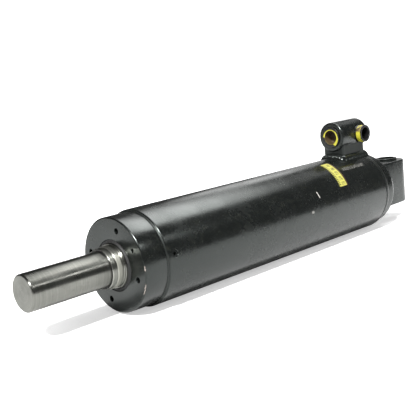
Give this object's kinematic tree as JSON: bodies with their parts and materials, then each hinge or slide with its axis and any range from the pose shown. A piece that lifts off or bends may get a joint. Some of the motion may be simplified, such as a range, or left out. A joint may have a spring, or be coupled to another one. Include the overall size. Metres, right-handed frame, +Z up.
{
  "type": "telescopic hydraulic cylinder",
  "caption": "Telescopic hydraulic cylinder: black painted barrel with a pin-spanner gland, a sliding sleeve and rod, a rear pin lug and a port block with yellow hollow plugs.",
  "frame": {"origin": "middle of the whole part's length and width, on the floor it lies on", "axes": "+X from the rod end towards the rear lug along the barrel, +Z up through the port block, -Y towards the side port"},
  "size_m": [0.848, 0.1398, 0.2025],
  "materials": {
    "black_paint": "semi-gloss black paint",
    "machined_steel": "turned bare steel",
    "polished_steel": "polished bare steel",
    "inner_steel": "plain machined steel",
    "bronze": "bearing bronze",
    "black_rubber": "matt",
    "yellow_plastic": "moulded yellow plastic with black overspray",
    "label_foil": "printed foil label"
  },
  "bodies": {
    "barrel": {"barrel_tube": "black_paint", "base_cap": "black_paint", "base_weld": "black_paint", "rear_lug": "black_paint", "lug_bush": "inner_steel", "lug_weld": "black_paint", "port_block": "black_paint", "port_saddle": "black_paint", "port_weld": "black_paint", "port_plug_front": "yellow_plastic", "port_plug_side": "yellow_plastic", "label_plate": "label_foil", "gland_lock_screw": "inner_steel", "gland_head": "black_paint", "gland_wiper": "black_rubber", "gland_seal": "black_rubber", "gland_bearing": "bronze", "gland_oring": "black_rubber"},
    "sleeve": {"sleeve_tube": "machined_steel", "sleeve_head": "polished_steel", "rod_wiper": "black_rubber", "rod_seal": "black_rubber", "rod_bearing": "bronze", "sleeve_piston": "inner_steel", "sleeve_wear_ring_front": "bronze", "sleeve_piston_seal": "black_rubber", "sleeve_wear_ring_rear": "bronze"},
    "rod": {"rod": "machined_steel", "rod_piston": "inner_steel", "rod_piston_seal": "black_rubber", "rod_wear_ring": "bronze", "rod_nut": "inner_steel"}
  },
  "joints": [
    {"name": "sleeve_slide", "type": "slide", "parent": "barrel", "child": "sleeve", "axis": [-1, 0, 0], "range_m": [0, 0.36]},
    {"name": "rod_slide", "type": "slide", "parent": "sleeve", "child": "rod", "axis": [-1, 0, 0], "range_m": [0, 0.395]}
  ]
}
